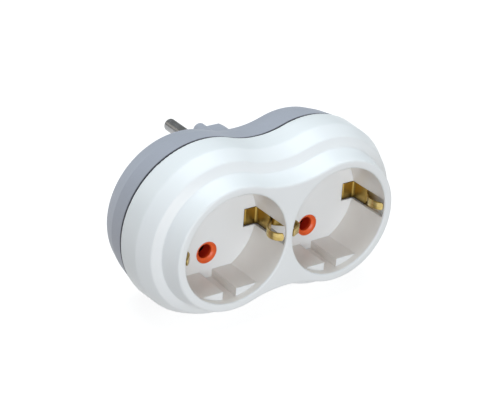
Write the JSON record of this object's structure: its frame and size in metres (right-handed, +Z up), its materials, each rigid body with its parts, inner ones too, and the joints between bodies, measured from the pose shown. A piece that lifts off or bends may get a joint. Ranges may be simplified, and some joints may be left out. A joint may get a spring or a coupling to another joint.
{
  "type": "two-gang socket adapter",
  "caption": "Plug-in socket adapter: a rounded figure-of-eight body with side-by-side recessed earthed outlets in front and a plug body with round pins on the back.",
  "frame": {"origin": "centre of the plug's face, midway between the pins, in the plane that meets the floor of a wall socket", "axes": "+X along the pair of outlets, +Y the way the plug pins point, +Z up with the pins one above the other; the outlets open towards -Y"},
  "size_m": [0.1028, 0.0763, 0.061],
  "materials": {
    "white_shell": "satin moulded, blue-white",
    "grey_shell": "fine matt moulded, blue-grey",
    "orange_guide": "satin moulded",
    "brass_contact": "bare pressed strip",
    "brass_earth": "bare pressed strip, slightly tarnished",
    "nickel_pin": "nickel plated, turned",
    "nickel_strip": "nickel plated strip",
    "steel": "zinc plated"
  },
  "bodies": {
    "root": {"front_cover": "white_shell", "rear_housing": "grey_shell", "pin_guide_left": "orange_guide", "pin_guide_right": "orange_guide", "contact_sleeve_left_upper": "brass_contact", "contact_sleeve_left_lower": "brass_contact", "contact_sleeve_right_upper": "brass_contact", "contact_sleeve_right_lower": "brass_contact", "sleeve_spring_left_upper": "steel", "sleeve_spring_left_lower": "steel", "sleeve_spring_right_upper": "steel", "sleeve_spring_right_lower": "steel", "busbar_upper": "brass_contact", "busbar_lower": "brass_contact", "plug_pin_upper": "nickel_pin", "plug_pin_lower": "nickel_pin", "earth_bracket_left": "brass_earth", "earth_bracket_right": "brass_earth", "earth_rivet_left": "brass_earth", "earth_rivet_right": "brass_earth", "earth_link": "brass_earth", "earth_post": "brass_earth", "plug_earth_bow": "nickel_strip", "housing_screw_upper": "steel", "housing_screw_lower": "steel"}
  },
  "joints": []
}
